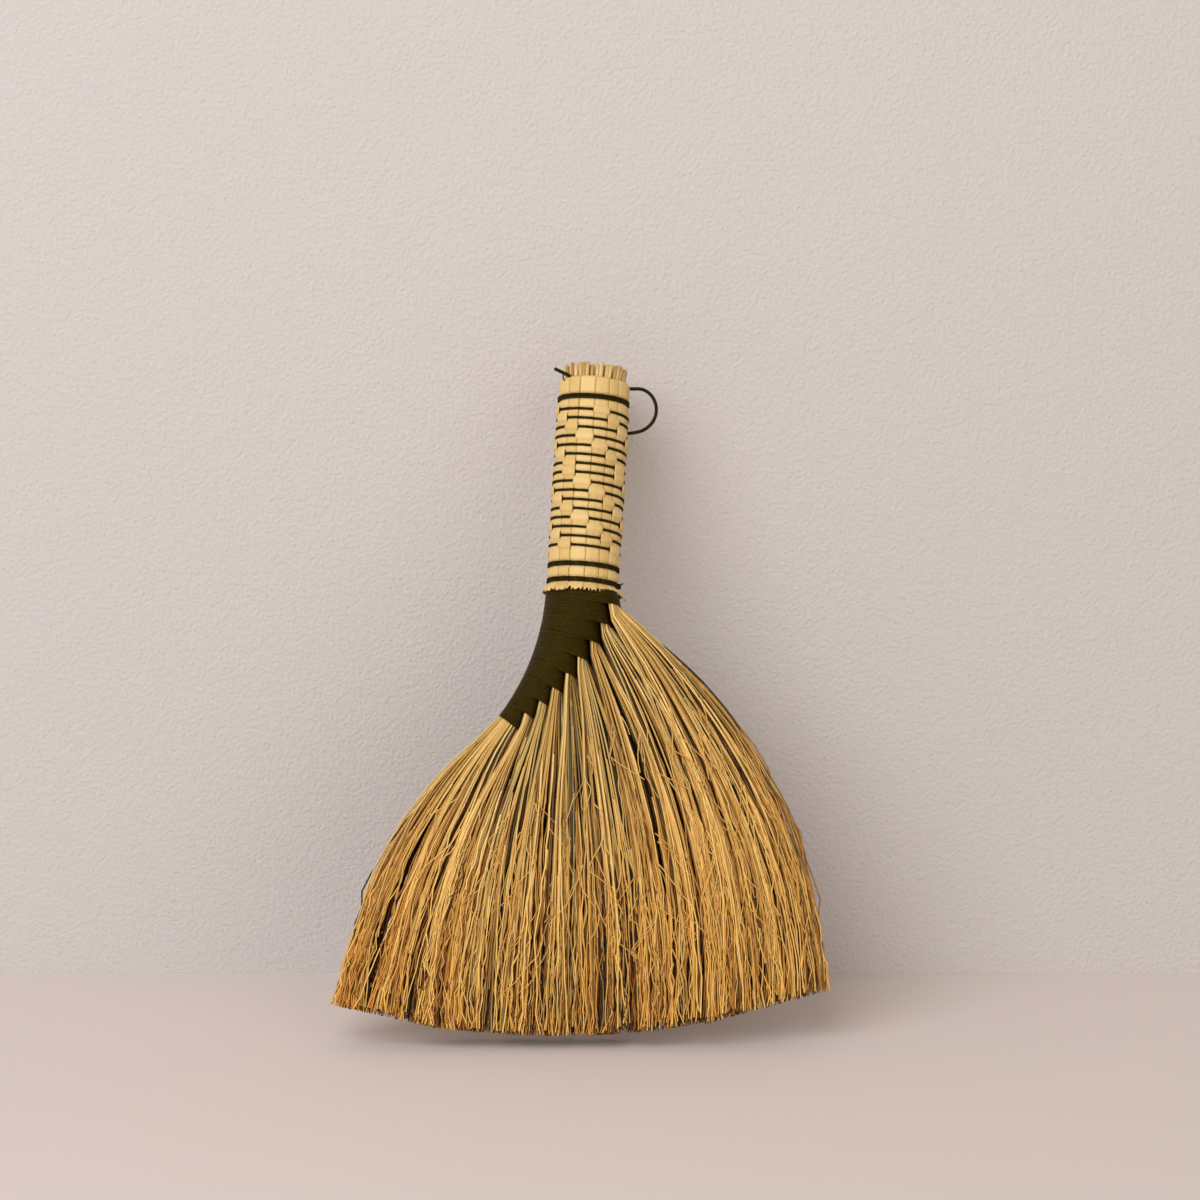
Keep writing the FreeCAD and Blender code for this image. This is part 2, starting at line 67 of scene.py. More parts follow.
HURLS = 9
FAN_WIDTH = 215.0
OUTER_TUFT_WIDTH = 41.0
BOTTOM_RADIUS = 365.0
LOW_POINT_X = -31.0
RIGHT_BULGE = 0.105
LEFT_BULGE = 0.080
BELLY_DEPTH = 27.0
TIP_DEPTH = 21.0
NECK_RADIUS = 16.3
NECK_TOP = 197.5
NECK_BEND_RADIUS = 104.0
FIRST_STEP = 2.6
STEP = 3.875
FIRST_STEP_WIDTH = 34.3
LAST_STEP_WIDTH = 11.9
STEP_SLANT = 2.8
TIP_NECK_DEPTH = 11.5
NECK_TAPER = 1.7
WRAP_WALL = 0.9
ROOT_DEPTH = 0.62

# Camera and stage axes: the broom leans back against a wall and a little to one side.
LEAN = math.radians(17.0)
PITCH = math.radians(9.0)
ROLL = math.radians(3.41)
RISE = LEAN - PITCH
level_right = Vector((1, 0, 0))
level_up = Vector((0, -math.sin(RISE), math.cos(RISE)))
look = Vector((0, math.cos(RISE), math.sin(RISE)))
right = level_right * math.cos(ROLL) + level_up * math.sin(ROLL)
camera_up = level_up * math.cos(ROLL) - level_right * math.sin(ROLL)
room_up = camera_up * math.cos(PITCH) - look * math.sin(PITCH)
room_back = look * math.cos(PITCH) + camera_up * math.sin(PITCH)


def srgb(red, green, blue):
    """Colour on the 0 to 255 scale of a picture, as the linear values that shaders take."""
    def linear(c):
        c /= 255.0
        return c / 12.92 if c <= 0.04045 else ((c + 0.055) / 1.055) ** 2.4
    return (linear(red), linear(green), linear(blue), 1.0)


class Value:
    """A shader's number, so that masks are written as sums and products."""

    def __init__(self, finish, socket):
        self.finish = finish
        self.socket = socket

    def join(self, operation, a, b):
        return self.finish.add("ShaderNodeMath", {"operation": operation}, {0: a, 1: b})

    def __add__(self, other):
        return self.join("ADD", self, other)

    def __sub__(self, other):
        return self.join("SUBTRACT", self, other)

    def __rsub__(self, other):
        return self.join("SUBTRACT", other, self)

    def __mul__(self, other):
        return self.join("MULTIPLY", self, other)

    __radd__ = __add__
    __rmul__ = __mul__


class Finish:
    """One material, made of nodes."""

    def __init__(self, name):
        self.material = bpy.data.materials.new(name)
        self.material.use_nodes = True
        self.tree = self.material.node_tree
        self.shader = self.tree.nodes["Principled BSDF"]
        self.output = self.tree.nodes["Material Output"]

    def put(self, socket, value):
        if isinstance(value, Value):
            self.tree.links.new(value.socket, socket)
        else:
            socket.default_value = value

    def add(self, kind, settings=None, sockets=None, out=0):
        """A node: its settings come first, then the values or links of its sockets."""
        node = self.tree.nodes.new(kind)
        for key, value in (settings or {}).items():
            if key == "stops":
                while len(node.color_ramp.elements) < len(value):
                    node.color_ramp.elements.new(0.5)
                for element, (position, colour) in zip(node.color_ramp.elements, value):
                    element.position = position
                    element.color = colour
            else:
                setattr(node, key, value)
        for key, value in (sockets or {}).items():
            self.put(node.inputs[key], value)
        return Value(self, node.outputs[out])

    def surface(self, **sockets):
        for key, value in sockets.items():
            self.put(self.shader.inputs[key.replace("_", " ")], value)

    def noise(self, scale, detail=2.0, upright=1.0, rough=0.5):
        """Noise over the piece; the lower upright is, the more it runs along the height."""
        spot = self.add("ShaderNodeTexCoord", out="Object")
        spot = self.add("ShaderNodeMapping", None, {"Vector": spot, "Scale": (1, 1, upright)})
        return self.add("ShaderNodeTexNoise", None,
                        {"Vector": spot, "Scale": scale, "Detail": detail, "Roughness": rough})

    def mix(self, factor, a, b):
        return self.add("ShaderNodeMix", {"data_type": "RGBA"}, {0: factor, 6: a, 7: b}, out=2)

    def ramp(self, factor, *stops):
        return self.add("ShaderNodeValToRGB", {"stops": stops}, {"Fac": factor})

    def bump(self, height, depth):
        """Relief with a depth in millimetres."""
        return self.add("ShaderNodeBump", None, {"Height": height, "Distance": depth * MM})

    def strand(self):
        """A piece's tint, place along its length and greenness; on the fan's strands the tint also
        carries painted shade.
        """
        colour = self.add("ShaderNodeAttribute", {"attribute_name": "strand"}, out="Color")
        parts = self.add("ShaderNodeSeparateColor", None, {"Color": colour}).socket.node
        return [Value(self, parts.outputs[n]) for n in range(3)]


def broomcorn_finish():
    """Straw that turns from pale to golden along a strand; some stalks are still green."""
    f = Finish("broomcorn")
    # The tint holds painted shade: strands deep inside the fan come with a darker tint.
    tint, along, green = f.strand()
    streak = f.noise(900, 3, upright=0.06)
    tone = tint + (streak - 0.5) * 0.3
    pale = f.ramp(tone, (0.0, srgb(62, 37, 8)), (0.3, srgb(128, 88, 30)),
                  (0.6, srgb(205, 163, 83)), (1.0, srgb(247, 216, 142)))
    golden = f.ramp(tone, (0.0, srgb(60, 33, 4)), (0.3, srgb(144, 88, 23)),
                    (0.6, srgb(224, 158, 60)), (1.0, srgb(255, 210, 110)))
    straw = f.mix(along, pale, golden)
    f.surface(Base_Color=f.mix(green * 0.7, straw, srgb(172, 164, 104)),
              Roughness=0.6 - tone * 0.1, Normal=f.bump(streak, 0.08))
    return f.material


def split_stalk_finish():
    """Pale stalk with a fine grain and soft clouds."""
    f = Finish("split_stalk")
    tint, _, _ = f.strand()
    grain = f.noise(1500, 3, upright=0.025)
    cloud = f.noise(70, 2, upright=0.35)
    tone = tint * 0.55 + grain * 0.3 + cloud * 0.25
    straw = f.ramp(tone, (0.2, srgb(192, 149, 78)), (0.45, srgb(218, 181, 109)),
                   (0.7, srgb(229, 198, 132)), (0.95, srgb(239, 214, 154)))
    f.surface(Base_Color=straw, Roughness=0.5 + grain * 0.16, Normal=f.bump(grain, 0.12),
              Specular_IOR_Level=0.45)
    return f.material


def stalk_core_finish():
    """Stalks with streaked sides and specked pith at their cut ends."""
    f = Finish("stalk_core")
    tint, pith, _ = f.strand()
    grain = f.noise(1300, 3, upright=0.05)
    side = f.ramp(tint + (grain - 0.5) * 0.4, (0.0, srgb(112, 70, 28)), (0.4, srgb(192, 146, 79)),
                  (0.8, srgb(229, 197, 135)), (1.0, srgb(240, 215, 162)))
    speck = f.noise(2600, 2)
    cut = f.ramp(speck, (0.35, srgb(196, 158, 98)), (0.7, srgb(240, 220, 172)))
    f.surface(Base_Color=f.mix(pith, side, cut), Roughness=0.68 - tint * 0.1,
              Normal=f.bump(grain + speck * 0.5, 0.12))
    return f.material


THREAD_GLOSS = (1.0, 0.78, 0.26, 1.0)


def thread_finish(name, dark, light, rough, gloss):
    """Waxed thread: dull olive with paler fuzz."""
    f = Finish(name)
    fuzz = f.noise(2400, 4, rough=0.65)
    wax = f.noise(560, 3)
    f.surface(Base_Color=f.mix(fuzz * 1.5 + wax * 0.9 - 0.75, dark, light),
              Roughness=rough + wax * 0.15, Normal=f.bump(fuzz, 0.06),
              Specular_IOR_Level=gloss, Specular_Tint=THREAD_GLOSS)
    return f.material


def fibre_mesh(name, paths, radii, strand, resolution=0):
    """Mesh of tapered strands: paths are points in millimetres, one row for each strand."""
    curve = bpy.data.curves.new(name, "CURVE")
    curve.dimensions = "3D"
    curve.bevel_depth = 1.0
    curve.bevel_resolution = resolution
    curve.use_fill_caps = True
    for path, radius in zip(paths, radii):
        spline = curve.splines.new("POLY")
        spline.points.add(len(path) - 1)
        spots = np.column_stack([path * MM, np.ones(len(path))])
        spline.points.foreach_set("co", spots.ravel())
        spline.points.foreach_set("radius", np.ascontiguousarray(radius * MM, np.float32))
        spline.use_smooth = True
    line = bpy.data.objects.new(name + "_line", curve)
    mesh = bpy.data.meshes.new_from_object(line)
    mesh.name = name
    bpy.data.objects.remove(line)
    bpy.data.curves.remove(curve)
    if strand is not None:
        caps = strand[::-1, [-1, 0]].reshape(-1, 3)
        rings = np.concatenate([caps, strand.reshape(-1, 3)])
        set_strand(mesh, np.repeat(rings, len(mesh.vertices) // len(rings), axis=0))
    return mesh


def set_strand(mesh, colours):
    """Store tint, place along the length and greenness on the vertices."""
    attribute = mesh.attributes.new("strand", "FLOAT_COLOR", "POINT")
    full = np.ones((len(mesh.vertices), 4), np.float32)
    full[:, :3] = colours
    attribute.data.foreach_set("color", full.ravel())


def finished_mesh(name, bm):
    """Mesh of a bmesh that is no longer needed."""
    mesh = bpy.data.meshes.new(name)
    bm.to_mesh(mesh)
    bm.free()
    return mesh


def piece(name, mesh, finish, nodes, body="broom"):
    """A finished piece: it shows its material, stands for its solids and rides on a body."""
    obj = bpy.data.objects.new(name, mesh)
    bpy.context.scene.collection.objects.link(obj)
    mesh.materials.clear()
    mesh.materials.append(finish)
    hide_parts(*nodes)
    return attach(obj, body)


def smoothstep(x):
    x = np.clip(x, 0, 1)
    return x * x * (3 - 2 * x)


def round_handle(angle, radius, z):
    """Points round the handle, in millimetres."""
    a = np.radians(angle)
    x, y = HANDLE_X + radius * np.sin(a), -radius * np.cos(a)
    return np.stack(np.broadcast_arrays(x, y, z), -1)


def seam_angle(number):
    uneven = STRIP_UNEVEN * math.sin(SEAM_WANDER * (number % STRIPS) ** 2)
    return (number - 1) * STRIP_ANGLE + uneven


def hides_thread(count):
    """A strip passes over the thread at each fourth crossing; the weaver's count slips once."""
    return count % 4 == (1 if count < SLIP_STRIP else 0)


BINDING_SEAM = seam_angle(8)
BINDING_PITCH = 1.12


def binding_z(middle_z, angle):
    """Middle of a binding's turns at an angle round the handle."""
    share = ((angle - BINDING_SEAM) % 360) / 360.0
    return middle_z + BINDING_PITCH * (0.5 - share)


# Split stalks of the handle
STRIP_COLUMNS = 12
STRIP_ROWS = 190
STRIP_THICK = 0.45
STRIP_GAP = 0.04
STRIP_RIDGES = 0.045
STRIP_WANDER = 0.08
STRIP_TINTS = (0.4, 0.85)
EDGE_DROP = 0.25
EDGE_POWER = 5
THREAD_DIP = 0.95
DIP_WIDTH = 0.62
PAD_RISE = 0.8
PAD_FLAT = 1.05
PAD_REACH = 2.3
PAD_SPREAD = 1.3
BINDING_DIP = 0.85
BINDING_HALF = 1.0
TOP_UNEVEN = (-0.5, 0.35)
TOP_TUCK = 0.9
TUCK_REACH = 1.8
FRAY_DROP = 1.3
FRAY_LENGTH = 2.1
FRAY_UNEVEN = (0, 0.5)
FLARE = 1.9
FLARE_UNEVEN = 0.16
FLARE_START = 1.6
FLARE_REACH = 2.8
TONGUE_STRIP = 4
TONGUE_COLUMNS = slice(3, 8)
TONGUE_SHAPE = (-0.4, -1.2, -1.6, -1.0, -0.2)
TONGUE_LIFT = 2.2
TONGUE_START = 1.2
TONGUE_REACH = 3.4
TONGUE_CURL = 1.3


def strip_mesh(number):
    """A split stalk: pillowed between the rows, pressed in under the thread and humped over it."""
    gap = math.degrees(STRIP_GAP / STRIP_OUT)
    first, last = seam_angle(number) + gap, seam_angle(number + 1) - gap
    middle = (first + last) / 2
    tongue = number == TONGUE_STRIP
    bm = bmesh.new()
    bmesh.ops.create_grid(bm, x_segments=STRIP_COLUMNS, y_segments=STRIP_ROWS, size=1.0)
    co = np.array([v.co for v in bm.verts])
    across, up = co[:, 0], (co[:, 1] + 1) / 2
    column = np.rint((across + 1) / 2 * STRIP_COLUMNS).astype(int)

    ridge = rng.normal(0, STRIP_RIDGES, STRIP_COLUMNS + 1)[column]
    fray = rng.uniform(0, 1, STRIP_COLUMNS + 1) ** 2 * FRAY_LENGTH
    if tongue:
        fray[TONGUE_COLUMNS] = TONGUE_SHAPE
    bottom = HEM_Z - FRAY_DROP + fray[column] + rng.uniform(*FRAY_UNEVEN)
    top = RIM_Z + rng.uniform(*TOP_UNEVEN)
    z = bottom + (top - bottom) * up
    angle = middle + (last - first) / 2 * across
    edge = EDGE_DROP * np.abs(across) ** EDGE_POWER
    radius = STRIP_OUT + ridge - edge
    radius += STRIP_WANDER * np.sin(z / rng.uniform(5, 9) + rng.uniform(0, 6))

    for count in range(FIRST_STRIP, LAST_STRIP + 1):
        if count % STRIPS == number:
            turn = (count - number) // STRIPS
            away = z - (WEAVE_TOP_Z - ROW_PITCH * (turn + angle / 360.0))
            if hides_thread(count):
                pad = 1 - smoothstep((np.abs(away) - PAD_FLAT) / (PAD_REACH - PAD_FLAT))
                radius += pad * (PAD_RISE + edge / 2)
                angle = angle + PAD_SPREAD * pad * across
            else:
                radius -= THREAD_DIP * np.exp(-(away / DIP_WIDTH) ** 2)
    for height in (TOP_BINDING_Z, LOWER_BINDING_Z, HEM_BINDING_Z):
        away = np.abs(z - binding_z(height, angle))
        radius -= BINDING_DIP * (1 - smoothstep(away / BINDING_HALF - 1))

    radius -= TOP_TUCK * smoothstep((z - top + TUCK_REACH) / TUCK_REACH) ** 2
    below = smoothstep((HEM_BINDING_Z - FLARE_START - z) / FLARE_REACH)
    radius += below * (FLARE + rng.normal(0, FLARE_UNEVEN, STRIP_COLUMNS + 1)[column])
    if tongue:
        hang = np.clip((HEM_Z + TONGUE_START - z) / TONGUE_REACH, 0, 1)
        radius += TONGUE_LIFT * hang ** TONGUE_CURL

    for v, p in zip(bm.verts, round_handle(angle, radius, z) * MM):
        v.co = p
    bmesh.ops.recalc_face_normals(bm, faces=bm.faces)
    outward = Vector(round_handle(middle, 1.0, 0.0)) - Vector((HANDLE_X, 0, 0))
    if sum((f.normal.dot(outward) for f in bm.faces), 0.0) < 0:
        bmesh.ops.reverse_faces(bm, faces=bm.faces)
    for f in bm.faces:
        f.smooth = True
    mesh = finished_mesh(f"stalk_strip_{number + 1:02d}", bm)
    tint = rng.uniform(*STRIP_TINTS)
    set_strand(mesh, np.tile((tint, 0.0, 0.0), (len(mesh.vertices), 1)))
    return mesh


def make_strips(finish):
    for number in range(STRIPS):
        name = f"stalk_strip_{number + 1:02d}"
        obj = piece(name + "_split", strip_mesh(number), finish, [name])
        wall = obj.modifiers.new("wall", "SOLIDIFY")
        wall.thickness = STRIP_THICK * MM
        wall.offset = -1.0


# Threads round the handle
LAY = 2.5
LAY_POINTS = 7
PLY_RADIUS = 0.42
PLY_OFFSET = 0.22
WEAVE_SCALE = 1.1
BINDINGS = (("top_binding", TOP_BINDING_Z, 1.1), ("lower_binding", LOWER_BINDING_Z, 1.0),
            ("hem_binding", HEM_BINDING_Z, 1.0))
BINDING_TURNS = 2
BINDING_END = 4


def twisted(angles, radius, heights, scale):
    """Two plies laid round each other along a winding round the handle."""
    length = np.radians(angles) * radius
    plies = []
    for half in (0.0, math.pi):
        phase = 2 * math.pi * length / LAY + half
        plies.append(round_handle(angles, radius + scale * PLY_OFFSET * np.cos(phase),
                                  heights + scale * PLY_OFFSET * np.sin(phase)))
    return plies


def winding_mesh(name, top_z, pitch, start, end, scale):
    """A wound thread of two plies, from the angle where it starts to the one where it ends."""
    steps = int(math.radians(end - start) * THREAD_RADIUS / LAY * LAY_POINTS)
    angles = np.linspace(start, end, steps)
    plies = twisted(angles, THREAD_RADIUS, top_z - pitch * angles / 360.0, scale)
    radii = [np.full(steps, PLY_RADIUS * scale)] * 2
    return fibre_mesh(name, plies, radii, None)


def make_threads(finish):
    weave = winding_mesh("weave_thread", WEAVE_TOP_Z, ROW_PITCH, WEAVE_START, WEAVE_END,
                         WEAVE_SCALE)
    piece("weave_thread_plies", weave, finish, ["weave_thread"])
    start = BINDING_SEAM + BINDING_END
    end = BINDING_SEAM + (360 * BINDING_TURNS - BINDING_END)
    for name, height, scale in BINDINGS:
        top = height + BINDING_PITCH * (1 + BINDING_SEAM / 360.0)
        turns = winding_mesh(name, top, BINDING_PITCH, start, end, scale)
        piece(name + "_plies", turns, finish, [name])


KNOT_ANGLE = 86.0
KNOT_PROUD = 0.95
KNOT_SIZE = 1.15
KNOT_POINTS = 40
KNOT_OPENING = 0.35
KNOT_FLATNESS = 0.8
KNOT_TAIL = np.array([(0.2, -0.2, 0.4), (0.8, -0.5, 0.9), (1.5, -0.4, 1.3)])
KNOT_THREAD = 0.36
KNOT_TAIL_END = 0.3


def knot_points():
    """Overhand knot."""
    a = np.linspace(KNOT_OPENING, 2 * math.pi - KNOT_OPENING, KNOT_POINTS)
    x = np.sin(a) + 2 * np.sin(2 * a)
    y = np.cos(a) - 2 * np.cos(2 * a)
    return np.stack([-np.sin(3 * a) * KNOT_FLATNESS, x, y], -1) * KNOT_SIZE / 3


def make_knot(finish):
    height = binding_z(HEM_BINDING_Z, KNOT_ANGLE)
    centre = round_handle(KNOT_ANGLE, THREAD_RADIUS + KNOT_PROUD, height)
    bends = range(len(KNOT_TAIL))
    along = np.linspace(0, bends[-1], KNOT_POINTS)
    tail = centre + np.stack([np.interp(along, bends, KNOT_TAIL[:, n]) for n in range(3)], -1)
    radii = [np.full(KNOT_POINTS, KNOT_THREAD),
             np.linspace(KNOT_THREAD, KNOT_TAIL_END, KNOT_POINTS)]
    mesh = fibre_mesh("hem_knot", [knot_points() + centre, tail], radii, None, 2)
    piece("hem_knot_thread", mesh, finish, ["hem_knot"])


# Cut stalks in the handle's core
STALK_RINGS = 5
RING_STALKS = 8
RING_TURN = 17
STALK_PITCH = 2.58
STALK_FOOT = 198.0
STALK_SIDES = 8
STALK_UNEVEN = 1.5
STALK_TURN = 2.5
STALK_TWIST = 0.6
STALK_SHIFT = (-0.35, 0.2)
SLAT_WIDTH = (0.58, 1.15)
SLAT_DEPTH = (0.5, 1.1)
PITH_INSET = 0.2
PITH_DEPTH = 0.12
STALK_SPLAY = 0.008
SPLAY_ASIDE = 3.0


def add_stalk(bm, layer, ring, angle):
    """A slat with its pith sunk in the cut end."""
    height = STALK_TOP - STALK_FOOT - rng.uniform(0, STALK_UNEVEN)
    shape = (rng.uniform(*SLAT_WIDTH), rng.uniform(*SLAT_DEPTH), 1.0)
    made = bmesh.ops.create_cone(bm, cap_ends=True, segments=STALK_SIDES, radius1=1.0,
                                 radius2=1.0, depth=height)["verts"]
    faces = {f for v in made for f in v.link_faces}
    cap = max(faces, key=lambda f: f.calc_center_median().z)
    inset = bmesh.ops.inset_individual(bm, faces=[cap], thickness=PITH_INSET, depth=-PITH_DEPTH)
    verts = list({v for f in inset["faces"] for v in f.verts} | set(made) | set(cap.verts))
    tint = rng.beta(2.2, 1.7)
    for v in verts:
        v[layer] = (tint, float(v in cap.verts), 0.0, 1.0)
    twist = Matrix.Rotation(rng.uniform(-STALK_TWIST, STALK_TWIST), 4, "Z")
    turn = Matrix.Rotation(math.radians(angle), 4, "Z")
    away = ring * STALK_PITCH + rng.uniform(*STALK_SHIFT)
    shift = Matrix.Translation(Vector(round_handle(angle, away, STALK_FOOT + height / 2)))
    size = Matrix.Diagonal((*shape, 1.0))
    bmesh.ops.transform(bm, verts=verts, matrix=Matrix.Scale(MM, 4) @ shift @ turn @ twist @ size)


def make_core(finish):
    """Stalk ends split and cut by hand: slats of many widths, with dark gaps between them."""
    bm = bmesh.new()
    layer = bm.verts.layers.float_color.new("strand")
    for ring in range(STALK_RINGS + 1):
        count = max(1, RING_STALKS * ring)
        for n in range(count):
            uneven = rng.uniform(-STALK_TURN, STALK_TURN)
            add_stalk(bm, layer, ring, 360.0 * n / count + RING_TURN * ring + uneven)
    bmesh.ops.bisect_plane(bm, geom=[*bm.verts, *bm.edges, *bm.faces],
                           plane_co=(0, 0, RIM_Z * MM), plane_no=(0, 0, 1))
    for v in bm.verts:
        proud = max(v.co.z - RIM_Z * MM, 0.0)
        v.co.x += proud * (v.co.x / MM - HANDLE_X + SPLAY_ASIDE) * STALK_SPLAY
        v.co.y += proud * v.co.y / MM * STALK_SPLAY
    for f in bm.faces:
        f.smooth = len(f.verts) == 4
    mesh = finished_mesh("core_stalks", bm)
    piece("core_stalks_cut", mesh, finish, ["core_stalks"])


# Stepped neck
NECK_THREAD_RADIUS = 0.32
NECK_THREAD_PITCH = 0.62
FEWEST_TURNS = 4
TURN_POINTS = 36
TURN_WOBBLES = 3
WOBBLE = 0.06
WOBBLE_OUT = 0.4
UNDER_LAP = 0.15
STEP_CORNER = 3.4


def step_angle(level):
    return np.where(level < 1, FIRST_STEP * level, FIRST_STEP + STEP * (level - 1))


def step_outer(level):
    if not level:
        return 2 * NECK_RADIUS
    return FIRST_STEP_WIDTH + (LAST_STEP_WIDTH - FIRST_STEP_WIDTH) * (level - 1) / (HURLS - 1)


def step_inner(level):
    return step_outer(level + 1) - STEP_SLANT if level else step_outer(0)


def neck_depth(level):
    taper = (level / HURLS) ** NECK_TAPER
    return 2 * NECK_RADIUS - (2 * NECK_RADIUS - TIP_NECK_DEPTH) * taper


def neck_point(level, across, y=0.0):
    """Points at a height along the neck, given their distance from its left side."""
    a = np.radians(step_angle(level))
    reach = NECK_BEND_RADIUS + across
    x = HANDLE_X - NECK_RADIUS - NECK_BEND_RADIUS + reach * np.cos(a)
    return np.stack(np.broadcast_arrays(x, y, NECK_TOP - reach * np.sin(a)), -1)


def lift_ring(level, share, turn, inset):
    """Points round one lift of the neck, an oval that is squarer on the side of the steps; share
    runs from the step above to the one below."""
    above = level - 1
    wide = step_inner(above) + (step_outer(level) - step_inner(above)) * share
    depth = neck_depth(above) + (neck_depth(level) - neck_depth(above)) * share
    across, out = np.cos(turn), np.sin(turn)
    power = np.where(across > 0, 2 / STEP_CORNER, 1.0)
    across = np.sign(across) * np.abs(across) ** power
    out = np.sign(out) * np.abs(out) ** power
    across = wide / 2 + (wide / 2 - inset) * across
    return neck_point(above + share, across, (depth / 2 - inset) * out)


def neck_thread_mesh():
    """One fine thread wound down the neck, lift by lift."""
    runs = []
    for level in range(1, HURLS + 1):
        bend = math.radians(FIRST_STEP if level == 1 else STEP)
        height = bend * (NECK_BEND_RADIUS + step_outer(level) / 2)
        turns = max(FEWEST_TURNS, round(height / NECK_THREAD_PITCH))
        share = np.linspace(0.0, 1.0, turns * TURN_POINTS, endpoint=level == HURLS)
        knots = np.arange(turns * TURN_WOBBLES + 1) / TURN_WOBBLES
        wobble = np.interp(share * turns, knots, rng.normal(0, WOBBLE, len(knots)))
        runs.append(lift_ring(level, np.clip(share + wobble / height, 0, 1),
                              2 * math.pi * share * turns,
                              NECK_THREAD_RADIUS + wobble * WOBBLE_OUT))
    path = np.concatenate(runs)
    return fibre_mesh("neck_wrap", [path], [np.full(len(path), NECK_THREAD_RADIUS)], None, 1)


def neck_under_mesh():
    """Thin under layer, which closes the gaps between the turns."""
    bm = bmesh.new()
    loops = []
    turn = np.linspace(0, 2 * math.pi, TURN_POINTS, endpoint=False)
    for level in range(1, HURLS + 1):
        for share in (0.0, 0.5, 1.0):
            ring = bmesh.ops.create_circle(bm, segments=TURN_POINTS)["verts"]
            spots = lift_ring(level, share, turn, 2 * NECK_THREAD_RADIUS - UNDER_LAP)
            for v, p in zip(ring, spots * MM):
                v.co = p
            loops.append(list({e for v in ring for e in v.link_edges}))
    for a, b in zip(loops, loops[1:]):
        bmesh.ops.bridge_loops(bm, edges=a + b)
    bmesh.ops.recalc_face_normals(bm, faces=bm.faces)
    for f in bm.faces:
        f.smooth = True
    return finished_mesh("neck_under", bm)


def make_neck(finish):
    piece("neck_wrap_thread", neck_thread_mesh(), finish, ["neck_wrap"])
    piece("neck_wrap_under", neck_under_mesh(), finish, ["neck_wrap"])


# Broomcorn bundles: their sides are drawn in x and z, the plane of the fan.
FLAT = [0, 2]
LINE = np.linspace(0, 1, 25)
KNEE = 0.04
OVERLAP = 0.3
OVERLAP_BY = 0.35
OPEN_SIDES = {1: 1.0, HURLS: -0.8}
ROOT_BLEND = 0.22
EDGE_ROUND = 0.2
EDGE_THIN = 0.8


def tip_point(x):
    drop = math.sqrt(BOTTOM_RADIUS ** 2 - (x - LOW_POINT_X) ** 2)
    return np.array([x, BOTTOM_RADIUS - drop])


def tip_x(border):
    if border in (0, HURLS):
        return FAN_WIDTH / 2 if border == 0 else -FAN_WIDTH / 2
    inner = (FAN_WIDTH - 2 * OUTER_TUFT_WIDTH) / (HURLS - 2)
    return FAN_WIDTH / 2 - OUTER_TUFT_WIDTH - inner * (border - 1)


def border_line(border, root, knee, tip):
    """Side of a bundle in the plane of the fan: out of the wrap, then bowed down to the tips."""
    bulge = RIGHT_BULGE - (RIGHT_BULGE + LEFT_BULGE) * border / HURLS
    chord = tip - knee
    bow = knee + chord / 2 + 2 * bulge * np.array([-chord[1], chord[0]])
    t = np.clip((LINE - KNEE) / (1 - KNEE), 0, 1)[:, None]
    line = (1 - t) ** 2 * knee + 2 * t * (1 - t) * bow + t ** 2 * tip
    line[0] = root
    return line


class Bundle:
    """The space that one bundle of broomcorn fills: s runs from its right side to its left one,
    v from back to front and t from the step of the wrap to the tips."""

    def __init__(self, level):
        last = level == HURLS
        self.level = level
        self.outer, self.inner = step_outer(level), 0.0 if last else step_inner(level)
        right_root = neck_point(level, self.outer - WRAP_WALL)[FLAT]
        left_root = neck_point(level, self.inner + (WRAP_WALL if last else 0))[FLAT]
        left_knee = left_root if last else neck_point(level + 1, step_outer(level + 1))[FLAT]
        self.right = border_line(level - 1, right_root, right_root, tip_point(tip_x(level - 1)))
        self.left = border_line(level, left_root, left_knee, tip_point(tip_x(level)))
        self.width = tip_x(level - 1) - tip_x(level)
        self.right_lap = 0.0 if level == 1 else OVERLAP
        self.left_lap = 0.0 if last else OVERLAP
        self.open_side = OPEN_SIDES.get(level, 0.0)

    def edge(self, s):
        """Share of the way from the fan's own edge."""
        return s if self.open_side > 0 else 1 - s

    def spread(self, s, t):
        """Strands reach past the sides of their bundle and in among those of the next one."""
        s = 1 - np.abs(1 - np.abs(s))
        return s + smoothstep(t / OVERLAP_BY) * (self.left_lap * s - self.right_lap * (1 - s))

    def half_depth(self, s, t):
        """From the oval of the neck to the fan, which is rounded at its open edges."""
        across = self.outer + (self.inner - self.outer) * np.clip(s, 0.03, 0.97)
        aside = 2 * across / self.outer - 1
        power = np.where(aside > 0, STEP_CORNER, 2.0)
        oval = np.clip(1 - np.abs(aside) ** power, 0.05, 1) ** (1 / power)
        root = (neck_depth(self.level) / 2 - WRAP_WALL) * oval
        thin, belly, tip = neck_depth(self.level) * ROOT_DEPTH / 2, BELLY_DEPTH / 2, TIP_DEPTH / 2
        fan = thin + (belly - thin) * np.sin(math.pi / 2 * np.clip(t * 2, 0, 1))
        fan = np.where(t > 0.5, belly + (tip - belly) * smoothstep(t * 2 - 1), fan)
        if self.open_side:
            inside = np.clip(self.edge(s) / EDGE_ROUND, 0, 1)
            fan = fan * np.sqrt(np.clip(1 - (1 - inside) ** 2 * EDGE_THIN, 0.1, 1))
        blend = smoothstep(t / ROOT_BLEND)
        return root * (1 - blend) + fan * blend

    def point(self, s, v, t):
        """Points of the space, in millimetres."""
        x, z = (np.interp(t, LINE, a) * (1 - s) + np.interp(t, LINE, b) * s
                for a, b in zip(self.right.T, self.left.T))
        return np.stack([x, -v * self.half_depth(s, t), z], -1)


